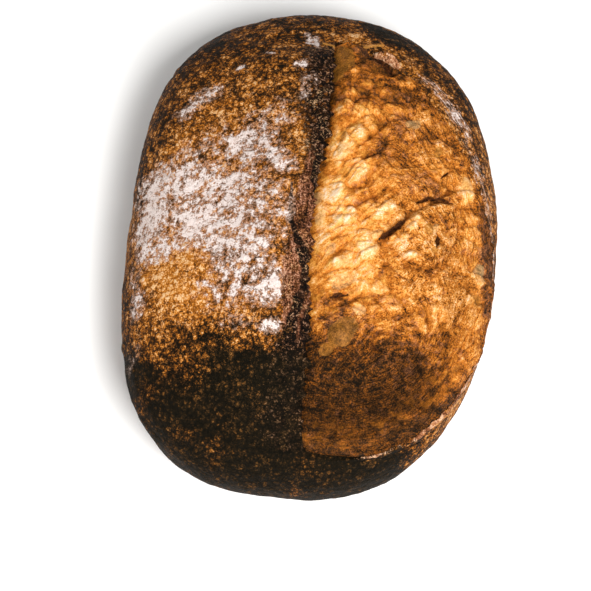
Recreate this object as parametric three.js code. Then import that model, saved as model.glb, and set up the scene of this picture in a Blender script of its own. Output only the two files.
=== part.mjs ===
// Sourdough loaf: an oval country loaf on a flat base, as one solid. A single score has opened from end
// to end. On its left the crust has lifted into an ear, a lip with a slot under it. On its right the torn
// dough has risen as a bloom of soft folds, out to a ragged edge of crust low on the far side.
// Millimetres. X runs across the loaf, Y along it, Z up, and the loaf stands on z = 0.
import * as THREE from "three";
import { mergeVertices } from "three/addons/utils/BufferGeometryUtils.js";

// The plain dome, before the score opened it.
const HALF_LENGTH = 130;
const HALF_WIDTH = 95;
const BELLY_HEIGHT = 44; // the level where the loaf is widest
const DOME_RISE = 52; // from that level to the plain dome's top
const UNDERSIDE_REACH = 72; // how deep the lower half would hang before the base flattens it
const BASE_ROUNDING = 6; // height over which the side turns into the flat base
const PLAN_POWER = { left: 2.85, right: 2.25 }; // 2 is an ellipse, more is fuller
const SIDE_POWER = { upper: 2.3, lower: 2.1 };

// The score, from its near end to its far end.
const SCORE = { near: -116, far: 104, fade: 24, x: 1.2, sway: 2.2, swayLength: 150, swayStart: 25 };

// The ear: how far it has lifted, and its section from the crest over the lip into the slot below it.
// Each row is [distance from the score, sideways shift, lift].
const EAR_REACH = 62; // where the crust starts to rise towards the crest
const EAR_RISE = 10;
const EAR_SWEEP = 1.5; // 1 is a plain smooth rise, more is later and steeper
const EAR_SECTION = [
  [-12, 0, 10],
  [-8.5, 0.4, 10.8],
  [-5, 1, 10.4],
  [-2.2, 1.6, 9],
  [-0.4, 1.6, 7.2],
  [0.8, -1.4, 5.4],
  [2, -5.2, 3.4],
  [3.2, -6.8, 1],
  [4.4, -5.5, -1.2],
  [6, -2.5, -1.4],
  [8.5, 0, 0.2],
];
// It stands highest and widest near the loaf's middle, and is a narrow lip towards the far end.
const EAR_TAPER = { nearEnd: -118, full: -50, falling: 0, farEnd: 60, farWidth: 0.55, farRise: 0.62 };
const EAR_CREST = -EAR_SECTION[0][0];
const EAR_END = EAR_SECTION[EAR_SECTION.length - 1][0];
// Towards the loaf's ends the sections narrow with it, from this half width on. The bloom keeps a least width.
const NARROWING = { from: 59, least: 0.05 };
const LEAST_BLOOM = 12;

// The bloom's far edge, an arc from one end of the score to the other.
const TEAR = { middle: -20, far: 122, near: 97, reach: 91.5, farPower: 0.64, nearPower: 0.42 };
// Its section across that edge: [distance along the surface, lift].
const TEAR_SECTION = [
  [-4.5, null], // the bloom's own lift
  [-1.2, -0.8],
  [1.4, 1.7],
  [5, 0.7],
];

// The bloom's lift starts beside the slot, between these distances from the score.
const BLOOM_START = [EAR_END - 4, EAR_END + 8];
// The bloom's surface: soft lobes drawn out slantwise, each with its own height between least and 1, with
// valleys between them, and shallower on the side away from the ear.
const BLOOM_RISE = 2.2;
const LOBE = { size: 8.4, stretch: 1.5, slant: 0.55, height: 3.2, least: 0.35, valley: 1.2, valleyWidth: 0.22 };
const MEAN_CROWN = 0.42; // of the lobes' crowns, so that they rise and sink alike
const LOBE_SEED = 3;
const SCATTER = { i: 12.9898, j: 78.233, seed: 37.719, spread: 43758.5453 }; // for numbers without a pattern
const SHALLOW_LOBES = { share: 0.45, from: 20, to: 50 };
// The lobes' rows wander: [height of the wave, length over which it turns, start].
const WANDER = { along: [3, 11, 0], across: [2, 17, 1], slide: [4, 9, 0] };
// Creases: [x, y, x, y, depth], straight valleys between two plan points.
const CREASE_WIDTH = 4.6;
const CREASES = [
  [13, 24, 31, 41, 2.2],
  [15, 15, 30, 29, 1.8],
  [9, 1, 34, 17, 1.8],
  [9, -10, 27, -3, 1.4],
  [12, 62, 30, 66, 1.6],
  [22, 50, 50, 58, 1.4],
  [60, 15, 69, 27, 2.4],
  [12, -43, 21, -36, 2.2],
  [80, 30, 86, -5, 1.4],
];
// A tongue of dough that has slid over the rest, from its root to its tip: [x, y, radius]. It stands free past
// a share of its length, with a crack round it.
const TONGUE = { root: [46, -24, 17], tip: [60, 4, 11.5], lift: 2.8, free: 0.6, crack: 2.4, crackWidth: 5 };
// Smooth thin-skinned bubbles: [x, y, radius, height].
const BUBBLES = [
  [9, 87, 8, 1.6],
  [19, -57, 8, 2.2],
  [58, 41, 6, 1.4],
];
// The flap of crust still standing at the far end of the tear: [x, y, x, y, height].
const FLAP = [22, 97, 36, 82, 4];
const FLAP_WIDTH = 4;

// Slow unevenness of a hand-shaped loaf: [x, y, radius, height]. It fades where the side stands steep, below
// this upward part of the surface's direction.
const STEEP = 0.35;
const CHEEKS = [
  [-78, -90, 34, 2.6],
  [-50, 110, 32, -4],
  [-50, -30, 34, 1.2],
  [70, 84, 26, 1],
];

// Triangles: rings along the loaf, and how many columns each stretch of a ring has.
const RINGS = 82;
const RING_CROWDING = 0.3; // above 0, the rings draw together towards the loaf's middle
const COLUMNS = { crust: 14, bloom: 22, side: 5, flank: 4, base: 4 };

// Steps of the search for a place on a ring, in radians, and how often it halves what is left.
const SMALL_ANGLE = 1e-3;
const SIDE_MARGIN = 0.05;
const HALVINGS = 40;
const WELD = 1e-3; // points closer than this are one

const clamp = THREE.MathUtils.clamp;
const lerp = THREE.MathUtils.lerp;
// Rises smoothly from 0 at one value to 1 at the other, whichever of the two is larger.
const ramp = (from, to, value) => THREE.MathUtils.smoothstep((value - from) / (to - from), 0, 1);
const hump = (distance, radius) => Math.exp(-((distance / radius) ** 2) * 2);

// The plain dome's point in a direction from the middle of its belly, and its outward normal there.
function domeSizes(direction) {
  const plan = direction.x > 0 ? PLAN_POWER.right : PLAN_POWER.left;
  const upper = direction.z > 0;
  return { plan, side: upper ? SIDE_POWER.upper : SIDE_POWER.lower, rise: upper ? DOME_RISE : UNDERSIDE_REACH };
}

function planSum(p, power) {
  return Math.abs(p.x / HALF_WIDTH) ** power + Math.abs(p.y / HALF_LENGTH) ** power;
}

function domePoint(direction) {
  const { plan, side, rise } = domeSizes(direction);
  const level = planSum(direction, plan) ** (side / plan) + Math.abs(direction.z / rise) ** side;
  return direction.clone().multiplyScalar(level ** (-1 / side));
}

function domeNormal(p) {
  const { plan, side, rise } = domeSizes(p);
  const share = Math.max(planSum(p, plan), 1e-9) ** (side / plan - 1);
  const slope = (value, half, power) => (Math.sign(value) * Math.abs(value / half) ** (power - 1)) / half;
  const across = share * slope(p.x, HALF_WIDTH, plan);
  const along = share * slope(p.y, HALF_LENGTH, plan);
  return new THREE.Vector3(across, along, slope(p.z, rise, side)).normalize();
}

function flattenBase(z) {
  if (z > BASE_ROUNDING) return z;
  return Math.max(z + BASE_ROUNDING, 0) ** 2 / (4 * BASE_ROUNDING);
}

// Where the score and the bloom's far edge run, and how far the score is open, at a place along the loaf.
function scoreX(y) {
  return SCORE.x + SCORE.sway * Math.sin((2 * Math.PI * (y - SCORE.swayStart)) / SCORE.swayLength);
}

function scoreOpening(y) {
  return ramp(SCORE.near, SCORE.near + SCORE.fade, y) * ramp(SCORE.far, SCORE.far - SCORE.fade, y);
}

// The share of the ear's full height and width there.
function earShare(y) {
  const towardsFar = ramp(EAR_TAPER.falling, EAR_TAPER.farEnd, y);
  return {
    height: ramp(EAR_TAPER.nearEnd, EAR_TAPER.full, y) * lerp(1, EAR_TAPER.farRise, towardsFar),
    width: lerp(1, EAR_TAPER.farWidth, towardsFar),
  };
}

function tearX(y) {
  const far = y > TEAR.middle;
  const share = clamp((y - TEAR.middle) / (far ? TEAR.far : TEAR.near), -1, 1);
  return TEAR.reach * (1 - share * share) ** (far ? TEAR.farPower : TEAR.nearPower);
}

// Distance from a plan point to a straight stretch, and how far along the stretch it is, from 0 to 1.
function alongStretch(x, y, x1, y1, x2, y2) {
  const length = Math.hypot(x2 - x1, y2 - y1);
  const share = clamp(((x - x1) * (x2 - x1) + (y - y1) * (y2 - y1)) / length ** 2, 0, 1);
  return { share, distance: Math.hypot(x - x1 - share * (x2 - x1), y - y1 - share * (y2 - y1)) };
}

// A number from 0 to 1 that differs from square to square of a grid, and is the same each time.
function scatter(i, j, seed) {
  const value = Math.sin(i * SCATTER.i + j * SCATTER.j + seed * SCATTER.seed) * SCATTER.spread;
  return value - Math.floor(value);
}

// Of points scattered one to a square: how far the nearest is, how much further the next, and its own number.
function nearestPoint(x, y, seed) {
  let [nearest, second, own] = [Infinity, Infinity, 0];
  for (const stepX of [-1, 0, 1])
    for (const stepY of [-1, 0, 1]) {
      const [i, j] = [Math.floor(x) + stepX, Math.floor(y) + stepY];
      const distance = Math.hypot(x - i - scatter(i, j, seed), y - j - scatter(i, j, seed + 1));
      if (distance < nearest) {
        second = nearest;
        nearest = distance;
        own = scatter(i, j, seed + 2);
      } else second = Math.min(second, distance);
    }
  return { nearest, gap: second - nearest, own };
}

// Lift of the soft lobes, about 0 on the whole.
function lobeLift(x, y) {
  const along = x * Math.cos(LOBE.slant) + y * Math.sin(LOBE.slant);
  const across = y * Math.cos(LOBE.slant) - x * Math.sin(LOBE.slant);
  const wave = ([height, length, start], value) => height * Math.sin(value / length + start);
  const bent = across + wave(WANDER.along, along) + wave(WANDER.across, across);
  const slid = along + wave(WANDER.slide, across);
  const place = [slid / (LOBE.stretch * LOBE.size), bent / LOBE.size];
  const { nearest, gap, own } = nearestPoint(...place, LOBE_SEED);
  const crown = lerp(LOBE.least, 1, own) * (1 - Math.min(nearest, 1) ** 2);
  const lift = LOBE.height * (crown - MEAN_CROWN) - LOBE.valley * hump(gap, LOBE.valleyWidth);
  return lift * lerp(SHALLOW_LOBES.share, 1, ramp(SHALLOW_LOBES.to, SHALLOW_LOBES.from, x));
}

function tongueLift(x, y) {
  const [x1, y1, rootRadius] = TONGUE.root;
  const [x2, y2, tipRadius] = TONGUE.tip;
  const { share, distance } = alongStretch(x, y, x1, y1, x2, y2);
  const outside = distance - lerp(rootRadius, tipRadius, share);
  const standing = ramp(0, TONGUE.free, share);
  const raised = TONGUE.lift * ramp(TONGUE.crackWidth / 2, -TONGUE.crackWidth, outside);
  const crack = TONGUE.crack * hump(outside - TONGUE.crackWidth / 2, TONGUE.crackWidth);
  return standing * (raised - crack);
}

function bloomLift(x, y) {
  let lift = BLOOM_RISE + lobeLift(x, y) + tongueLift(x, y);
  for (const [x1, y1, x2, y2, depth] of CREASES)
    lift -= depth * hump(alongStretch(x, y, x1, y1, x2, y2).distance, CREASE_WIDTH);
  for (const [bx, by, radius, height] of BUBBLES)
    lift += height * (1 - clamp(Math.hypot(x - bx, y - by) / radius, 0, 1) ** 2);
  return lift * ramp(...BLOOM_START, x - scoreX(y));
}

function earLifting(y) {
  return scoreOpening(y) * earShare(y).height;
}

function crustLift(x, y) {
  const fromScore = x - scoreX(y);
  const swept = fromScore < 0 ? ramp(-EAR_REACH, -EAR_CREST, fromScore) ** EAR_SWEEP : 0;
  let lift = EAR_RISE * earLifting(y) * swept;
  for (const [cx, cy, radius, height] of CHEEKS) lift += height * hump(Math.hypot(x - cx, y - cy), radius);
  const [x1, y1, x2, y2, height] = FLAP;
  return lift + height * hump(alongStretch(x, y, x1, y1, x2, y2).distance, FLAP_WIDTH);
}

// One ring of the loaf: every column's direction, and what the surface does there.
function ringColumns(turn) {
  const at = (angle) =>
    domePoint(
      new THREE.Vector3(
        HALF_WIDTH * Math.sin(turn) * Math.cos(angle),
        HALF_LENGTH * Math.cos(turn),
        (angle > 0 ? DOME_RISE : UNDERSIDE_REACH) * Math.sin(turn) * Math.sin(angle),
      ),
    );
  // The angle at a distance along the surface from another angle, and the angle where an edge crosses the ring.
  const slide = (angle, distance) => {
    const perStep = at(angle).distanceTo(at(angle + SMALL_ANGLE));
    return angle - (distance * SMALL_ANGLE) / perStep;
  };
  const find = (edge) => {
    let left = Math.PI - SIDE_MARGIN;
    let right = SIDE_MARGIN;
    for (let i = 0; i < HALVINGS; i++) {
      const middle = (left + right) / 2;
      const p = at(middle);
      if (p.x < edge(p.y)) left = middle;
      else right = middle;
    }
    return (left + right) / 2;
  };
  const narrowing = clamp(at(0).x / NARROWING.from, NARROWING.least, 1);
  const score = find(scoreX);
  const earScale = narrowing * earShare(at(score).y).width;
  const earStart = slide(score, EAR_SECTION[0][0] * earScale);
  const earEnd = slide(score, EAR_END * earScale);
  const widest = slide(earEnd, LEAST_BLOOM * narrowing);
  const tear = Math.min(find(tearX), widest);
  const tearStart = slide(tear, TEAR_SECTION[0][0] * narrowing);
  const tearEnd = slide(tear, TEAR_SECTION[TEAR_SECTION.length - 1][0] * narrowing);
  const columns = [];
  const spread = (from, to, count) => {
    for (let i = 1; i < count; i++) columns.push({ angle: lerp(from, to, i / count) });
  };
  columns.push({ angle: Math.PI });
  spread(Math.PI, earStart, COLUMNS.crust);
  for (const [distance, shift, lift] of EAR_SECTION)
    columns.push({ angle: slide(score, distance * earScale), shift: shift * earScale, lift, ear: true });
  spread(earEnd, tearStart, COLUMNS.bloom);
  for (const [distance, lift] of TEAR_SECTION)
    columns.push({ angle: slide(tear, distance * narrowing), lift, tear: lift !== null });
  spread(tearEnd, 0, COLUMNS.side);
  const edge = [BASE_ROUNDING, 0, -BASE_ROUNDING].map((up) => Math.asin((up - BELLY_HEIGHT) / UNDERSIDE_REACH));
  columns.push({ angle: 0 });
  spread(0, edge[0], COLUMNS.flank);
  for (const angle of edge) columns.push({ angle });
  spread(edge[2], -Math.PI - edge[2], COLUMNS.base);
  for (const angle of edge.toReversed()) columns.push({ angle: -Math.PI - angle });
  spread(-Math.PI - edge[0], -Math.PI, COLUMNS.flank);
  return columns.map((column) => ({ ...column, base: at(column.angle) }));
}

function surfacePoint({ base, angle, shift = 0, lift = 0, ear, tear }) {
  const normal = domeNormal(base);
  const point = base.clone();
  const { x, y } = base;
  if (angle > 0 && angle < Math.PI) {
    const opening = scoreOpening(y);
    const topside = ramp(0, STEEP, normal.z);
    const sideways = new THREE.Vector3(normal.z, 0, -normal.x).normalize();
    const inBloom = x > scoreX(y) && x < tearX(y);
    let rise = crustLift(x, y) * topside;
    if (ear) rise = lift > 0 ? lift * earLifting(y) : lift * opening;
    else if (tear) rise += opening * lift;
    else if (inBloom) rise += opening * bloomLift(x, y);
    point.addScaledVector(normal, rise).addScaledVector(sideways, shift * opening);
  }
  point.z = flattenBase(point.z + BELLY_HEIGHT);
  return point;
}

// A sphere's grid, with its poles at the loaf's two ends, carries the rings and columns.
function loafGeometry() {
  const turnOf = (share) => Math.PI * share + (RING_CROWDING / 2) * Math.sin(2 * Math.PI * share);
  const first = ringColumns(Math.PI / 2);
  const geometry = new THREE.SphereGeometry(1, first.length, RINGS);
  const positions = geometry.getAttribute("position");
  for (let ring = 0; ring <= RINGS; ring++) {
    const atPole = ring === 0 || ring === RINGS;
    const columns = atPole ? null : ringColumns(turnOf(ring / RINGS));
    for (let column = 0; column <= first.length; column++) {
      const index = ring * (first.length + 1) + column;
      const point = atPole
        ? new THREE.Vector3(0, ring === 0 ? HALF_LENGTH : -HALF_LENGTH, BELLY_HEIGHT)
        : surfacePoint(columns[column % first.length]);
      positions.setXYZ(index, point.x, point.y, point.z);
    }
  }
  geometry.deleteAttribute("normal");
  geometry.deleteAttribute("uv");
  const closed = mergeVertices(geometry, WELD);
  closed.computeVertexNormals();
  return closed;
}

const crust = new THREE.MeshStandardMaterial({ color: 0xa8703c, roughness: 0.8, metalness: 0 });
const loaf = new THREE.Mesh(loafGeometry(), crust);
loaf.name = "loaf";

const group = new THREE.Group();
group.add(loaf);
export default group;
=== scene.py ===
"""Sourdough loaf: the crust with its ear, and the bloom of torn dough beside it.

Places and sizes are in millimetres in the solid's frame, and turn into metres when a shell is laid.
"""

import itertools
import math

import bmesh
import bpy
import numpy as np
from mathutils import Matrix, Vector


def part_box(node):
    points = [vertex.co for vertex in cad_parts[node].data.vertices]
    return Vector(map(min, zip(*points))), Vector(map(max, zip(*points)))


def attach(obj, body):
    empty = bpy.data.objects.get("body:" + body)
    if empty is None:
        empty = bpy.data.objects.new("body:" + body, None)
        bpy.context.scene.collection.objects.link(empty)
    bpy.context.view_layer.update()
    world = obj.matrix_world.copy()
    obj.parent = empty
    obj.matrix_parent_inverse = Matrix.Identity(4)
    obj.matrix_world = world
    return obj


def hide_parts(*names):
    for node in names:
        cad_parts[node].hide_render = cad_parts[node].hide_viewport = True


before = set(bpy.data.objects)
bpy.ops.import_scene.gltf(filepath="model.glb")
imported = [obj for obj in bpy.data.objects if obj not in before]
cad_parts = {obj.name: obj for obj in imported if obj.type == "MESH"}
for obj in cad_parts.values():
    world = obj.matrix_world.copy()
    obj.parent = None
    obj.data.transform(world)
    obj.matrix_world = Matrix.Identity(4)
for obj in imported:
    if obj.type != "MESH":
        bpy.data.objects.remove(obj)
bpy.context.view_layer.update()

MM = 0.001

# The plain dome, before the score opened it.
HALF_WIDTH, HALF_LENGTH, _ = np.array(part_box("loaf")[1]) / MM
BELLY_HEIGHT = 44
DOME_RISE = 52
UNDERSIDE_REACH = 72
BASE_ROUNDING = 6
CRUST_END_DIP = 0.7
PLAN_POWER = {"left": 2.85, "right": 2.25}
SIDE_POWER = {"upper": 2.3, "lower": 2.1}

# The score, and the ear that stands along its left side. Each row of a section is
# (distance from the score, sideways shift, lift).
SCORE = {"near": -116, "far": 104, "fade": 24, "x": 1.2, "sway": 2.2, "sway_length": 150, "sway_start": 25}
EAR_REACH = 62
EAR_RISE = 10
EAR_CREST = 12
EAR_END = 8.5
EAR_EVEN_HEIGHT = 0.96
EAR_TAPER = {"near": (-118, -50), "far": (0, 60), "far_width": 0.55, "far_rise": 0.62}
EAR_SECTION = [
    (-12, 0, 10), (-8.5, 0.4, 10.8), (-5, 1, 10.4), (-2.2, 1.6, 9), (-0.4, 1.6, 7.2), (0.8, -1.4, 5.4),
    (2, -5.2, 3.4), (3.2, -6.8, 1), (4.4, -5.5, -1.6), (6, -2.5, -4.2),
]
TRENCH_DEPTH = 6
TRENCH_FADE = 7

# The tear, which is the bloom's far edge, and the torn lip of crust outside it, by distance from the tear.
TEAR = {"middle": -20, "far": 122, "near": 97, "reach": 91.5, "far_power": 0.64, "near_power": 0.42}
LIP_SECTION = [
    (-6, 0, -6), (-2.4, 0, -4.4), (-0.9, -0.3, -1.6), (-0.3, -0.7, 0.4), (0.5, -0.3, 1.5), (1.8, 0, 1.6),
    (5, 0, 0.7),
]
# The bloom's own two borders, which run under the ear and under the torn lip.
BLOOM_START = [(-1.5, -1.5, -5), (0.8, -1, -2.6), (2.6, -0.3, -1), (4.6, 0, -0.3)]
BLOOM_STOP = [(-3.4, 0, 0.6), (-1.5, 0, -0.5), (0.2, 0, -2), (1.6, 0, -4)]
BLOOM_UNDERSIDE = -9
# The least that the bloom and the crust beyond it keep of each cut.
BLOOM_LEAST = 12
SIDE_LEAST = 8

# Each shell's rings of points along the loaf, and how many columns each part of a ring has.
CRUST_RINGS = 340
CRUST_COLUMNS = {"crust": 104, "ear": 40, "trench": 8, "lip": 18, "side": 44, "flank": 24, "base": 12}
BLOOM_RINGS = 420
BLOOM_COLUMNS = {"start": 18, "top": 180, "stop": 14, "under": 8}

# Unevenness in layers: (size of its lumps, how much, seed).
CRUST_GRAIN = [(15, 0.5, 0), (6.5, 0.3, 1), (2.9, 0.22, 2)]
CRUST_GRAIN_TOP = 0.7
BAKE_PATCHES = [(34, 0.14, 13), (12, 0.16, 14)]
TONE_PATCHES = [(26, 0.07, 31), (8, 0.1, 32)]
# The same along the loaf's length alone.
RAGGED = {
    "tear": [(7, 1.1, 1), (2.6, 0.8, 2)],
    "ear_height": [(9, 0.12, 3), (3.5, 0.1, 4)],
    "ear_edge": [(11, 2.4, 5), (3.6, 3.2, 6), (1.6, 1.8, 10)],
    "lip": [(8, 0.5, 7), (3, 0.3, 8)],
    "flour_band": [(14, 0.36, 12)],
    "rim": [(7, 0.7, 15)],
    "burnt_edge": [(6, 1.2, 18)],
    "far_burn": [(8, 3, 19)],
}

# Slow unevenness of a hand-shaped loaf: (x, y, radius, height).
CHEEKS = [(-78, -90, 34, 2.6), (-50, 110, 32, -4), (-50, -30, 34, 1.2), (70, 84, 26, 1)]
# The flap of crust still standing at the far end of the tear.
FLAP_LINE = [(22, 96), (29, 91.5), (36, 87), (42, 82.5)]
FLAP = {"height": 5.6, "width": 3.6, "lean": 1.6, "face": 5}
# Blisters strewn over the crust, with spans of x, y and radius.
CRUST_BLISTERS = {"count": 190, "height": 0.3, "spans": [(-94, 94), (-125, 125), (1.3, 3.4)]}

# The bloom's surface, drawn out slantwise, with soft lobes and valleys between them.
BLOOM_RISE = 2.2
BLOOM_SLANT = 0.55
FLOW_SLANT = math.radians(32)
BLOOM_LOBES = {"height": 3.2, "middle": 0.42, "valley": 1.2}
# Rounded lumps of three sizes: (size, how much longer they are than wide, least height, seed).
LUMPS = {"lobes": (8.4, 1.5, 0.35, 3), "cushions": (5.6, 1.5, 0.4, 31), "knobs": (2.1, 1.3, 0.3, 35)}
# Cracks and folds of the bloom: points along each, then depth and width.
CRACKS = [
    ([(13, 24), (19, 29), (25, 34), (31, 41)], 1.8, 2),
    ([(15, 15), (22, 20), (30, 29)], 1.6, 1.8),
    ([(3, 5), (9, 1), (17, 2), (24, 9), (34, 17)], 1.8, 2.2),
    ([(7, 48), (15, 48), (23, 52), (28, 56)], 1.2, 1.8),
    ([(9, -10), (18, -8), (27, -3)], 1.2, 1.8),
    ([(36, -8), (40, -3), (45, 1)], 4.4, 2.4),
    ([(20, -30), (28, -27), (36, -25)], 1, 1.8),
    ([(10, -21), (17, -15), (25, -12)], 1.3, 2),
    ([(60, 16), (64, 20), (67, 27)], 2.8, 1.8),
    ([(12, -43), (17, -40), (21, -36)], 2.6, 2),
    ([(40, -54), (35, -56), (33, -60), (35, -63), (40, -63)], 2, 1.6),
    ([(76, 43), (80, 30), (84, 14), (87, -5)], 1.2, 2.2),
    ([(44, -26), (52, -29), (60, -27), (68, -22), (75, -12)], 1.4, 2.2),
    ([(12, 62), (20, 67), (30, 66)], 1.4, 2),
    ([(22, 50), (34, 58), (50, 58)], 1.2, 2.4),
    ([(20, -3), (28, 2), (34, -2)], 1, 2),
    ([(19, 96), (25, 91), (30, 86), (35, 80)], 3.4, 1.5),
    ([(33, -15), (37, -21), (45, -27), (55, -28)], 1.6, 1.6),
    ([(66, 2), (67, -6), (63, -12)], 1.3, 1.4),
]
# The tongue of dough that slid over the rest: its outline, with the crack's depth at each point.
TONGUE = [
    (35, -9, 3.4), (39, -3, 4.4), (44, 1, 4), (48, 7, 2), (54, 12, 1.8), (60, 15, 3.2), (66, 15, 2.8),
    (70, 11, 2.2), (71, 4, 2), (70, -5, 1.8), (67, -14, 1.8), (59, -21, 2.4), (50, -21, 2.4),
    (44, -18, 1.6), (40, -13, 1.8), (36, -10, 2.6),
]
TONGUE_LIFT = 2.8
# Gashes where the dough opened deep, darkened as painted shade: points along each, then half width.
GASHES = [
    ([(19, 98), (24, 93), (29, 88), (34, 83)], 1.4),
    ([(33, -9), (37, -6), (41, -2), (45, 3)], 1.8),
    ([(49, 12), (55, 15.5), (61, 17), (67, 16)], 1),
    ([(60, 27), (65, 33)], 0.9),
    ([(12, -41), (16, -39.5), (20, -39)], 1.2),
    ([(61, -3), (60.6, -6), (60, -9)], 1.5),
]
GASH_DEPTH = 3.2
# Soft pale lobes, each an oval: (x, y, half length, half width, turn in degrees, height).
LOBES = [
    (16, 44, 8, 5, 20, 1.3), (19, 28, 7, 4, 35, 1.2), (11, 14, 6, 4.5, 30, 1.2), (11, 60, 6, 5, 10, 0.8),
    (25, 55, 7, 4, 20, 0.7), (6, 36, 6, 4, 70, 0.9), (16, 6, 7, 4, 10, 1), (26, -17, 8, 4.5, 20, 1.4),
    (14, -23, 4.5, 2.8, 25, 1.2), (31, -9, 5, 2.6, 45, 1), (48, 1, 5.5, 4, 50, 1.2),
    (41, -9, 5, 3.4, 20, 1.2), (48, -16, 4, 2.4, 30, 1.5), (6, -14, 5, 4, 80, 0.9), (15, -5, 7, 5, 15, 0.9),
    (34, 5, 7, 5, 35, 1), (26, -29, 8, 5, 25, 0.9), (58, 29, 7, 5, 40, 0.9), (73, 24, 8, 4, 95, 1.2),
    (76, 9, 7, 3.5, 95, 0.8), (82, -6, 7, 3.5, 92, 1), (82, -20, 6, 3.5, 92, 0.8), (42, -38, 9, 6, 20, 0.8),
    (60, -44, 10, 7, 30, 0.8),
]
# Smooth thin-skinned bubbles: the same.
SKINS = [
    (8, 88, 9.5, 5.6, 100, 1.2), (4.5, 79, 4.6, 4, 0, 1.3), (19, -57, 9, 6, 50, 2),
    (12, -66, 4, 3, 40, 0.6), (55.4, -1.6, 3.2, 2.7, 90, 1.1), (59, -11, 2.2, 1.6, 40, 0.5),
    (58, 41, 3.6, 2, 80, 0.6), (82, -29, 3, 2, 80, -0.5),
]
# Paler bubbles, of a thin grey cream: the same. The last is a painted highlight on the rim of the gold bubble
# beside it.
PALE_SKINS = [
    (2, 9, 4, 3, 80, 0.8), (4, -1, 4.4, 2.6, 80, 0.8), (10, -17, 4, 2.4, 60, 0.5), (17, -23, 4, 2.4, 20, 1),
    (31, -7, 4.6, 2, 40, 0.6), (28, -16, 5, 2.8, 20, 1), (26, -46, 3.4, 2.6, 0, 0.7),
    (17, -33, 6, 3.6, 30, 0.6), (45, 54, 4.4, 3, 20, 0.9), (12, 34, 4.6, 3.4, 60, 0.5),
    (73, 27, 5, 3, 90, 0.8), (82, -16, 5, 3, 90, 0.6), (58.8, -0.5, 3, 1.4, 80, 0.5),
]
# Small holes: (x, y, radius, depth).
PITS = [
    (21, 36, 1.5, 1.5), (14, 42, 0.8, 0.8), (20, 30, 0.9, 1), (9, 23, 1, 1), (15, 23, 0.9, 1),
    (20, 21, 0.8, 0.8), (13, -30, 1, 1), (13, -34, 0.9, 1), (5, -51, 1.6, 1.8), (13, -60, 1, 1),
    (11, -66, 1.2, 1), (54, -25, 1.6, 1.4), (66, -26, 1.6, 1), (32, -38, 1, 1), (60, -46, 1.4, 1),
    (45, 61, 1, 1), (57, 50, 1.8, 1.2),
]
# Where the torn dough took more colour: ovals, with the change of tone last.
TOAST = [
    (38, 44, 26, 13, 95, 0.1), (52, 22, 14, 9, 10, 0.16), (44, 66, 12, 7, -20, 0.14),
    (23, 93, 12, 8, -45, 0.3), (20, -54, 14, 8, 5, 0.33), (14, -43, 12, 6, 0, 0.22),
    (8, 62, 8, 14, 0, 0.08), (62, -14, 8, 5, 40, 0.14), (52, -41, 9, 7, 20, 0.1),
    (54, -61, 22, 14, 10, 0.15), (87.4, -4, 40, 6.6, 94, 0.29), (18, 62, 9, 7, 0, 0.16),
    (22, 10, 7, 7, 0, 0.12), (29, 36, 7, 9, 0, 0.14), (35, -42, 14, 6, 0, 0.13), (44, 52, 12, 9, 0, 0.12),
    (60, 46, 10, 10, 0, 0.08), (57, 3, 8, 6, 0, 0.1), (81, -6, 17, 4.5, 92, 0.15),
]
# Where the dough as a whole is lighter or darker: the same. The last, darker at the near end, is painted
# shade.
GLOW = [
    (18, -6, 28.8, 40.8, 0, 0.14), (56, -18, 31.2, 40.8, 0, 0.1), (8, 18, 9, 27, 0, 0.16),
    (76, 2, 7, 21, 0, 0.04), (16, -84, 36.4, 25.2, 0, -0.4),
]
TONE_LEAST = 0.05
TONE_BEND = 14
# Strewn over the dough: blisters, with spans of x, y, half length, half width and turn, and holes, with
# spans of x, y and radius.
SMALL_BLISTERS = {"count": 150, "height": 0.35, "spans": [(4, 90), (-88, 88), (1.2, 3.2), (0.9, 2), (0, 70)]}
SMALL_PITS = {"count": 60, "spans": [(6, 88), (-80, 80), (0.5, 1)]}

# Flour on the crust: ovals, with the cover last.
FLOUR = [
    (-74, 18, 22, 12, 10, 0.68), (-82, -4, 20, 9, 90, 0.8), (-62, 4, 26, 17, 0, 0.6),
    (-42, 12, 20, 12, 0, 0.42), (-52, -8, 24, 12, 15, 0.66), (-38, 37, 9, 5, 20, 0.88),
    (-29, 31, 12, 10, 0, 0.56), (-37, 15, 7, 5, 0, 0.86), (-26, 2, 20, 15, 30, 0.42),
    (-29, -14, 17, 10, 30, 0.5), (-28, -34, 20, 17, 20, 0.54), (-14, -37, 6, 3.4, 80, 0.7),
    (-17, -43, 10, 7, 10, 0.64), (-83, -46, 9, 5, 80, 0.54), (-85, -28, 14, 5, 90, 0.4),
    (-68, 57, 12, 6, 35, 0.46), (-58, 66, 10, 6, 10, 0.4), (-44, 81, 3, 1.4, 35, 0.95),
    (-30, 90, 3.4, 1.4, -20, 0.95), (-13, 80, 5, 2.6, 30, 0.9), (-8, 69, 9, 5, 80, 0.34),
    (-7, 100, 9, 5, -50, 0.66), (-15, -58, 6, 4, 10, 0.72), (-38, -48, 12, 6, 10, 0.26),
    (52, 80, 7, 2.2, -30, 0.8), (-24, 50, 16, 12, 20, 0.34), (-48, 32, 28, 16, 10, 0.34),
    (-82, -72, 10, 5, 80, 0.2), (-50, -40, 8, 5, 60, 0.36), (-17, 23, 8, 7, 0, 0.8),
    (-11, -6, 3, 14, 0, 0.4), (-47, -20, 10, 7, 10, 0.74), (-73, -20, 10, 7, 0, 0.56),
    (-39, -27, 10, 9, 0, 0.36), (-40, 3, 8, 6, 0, 0.4), (-23, -20, 8, 7, 0, 0.3), (-32, -57, 10, 4, 0, 0.3),
]
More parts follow.
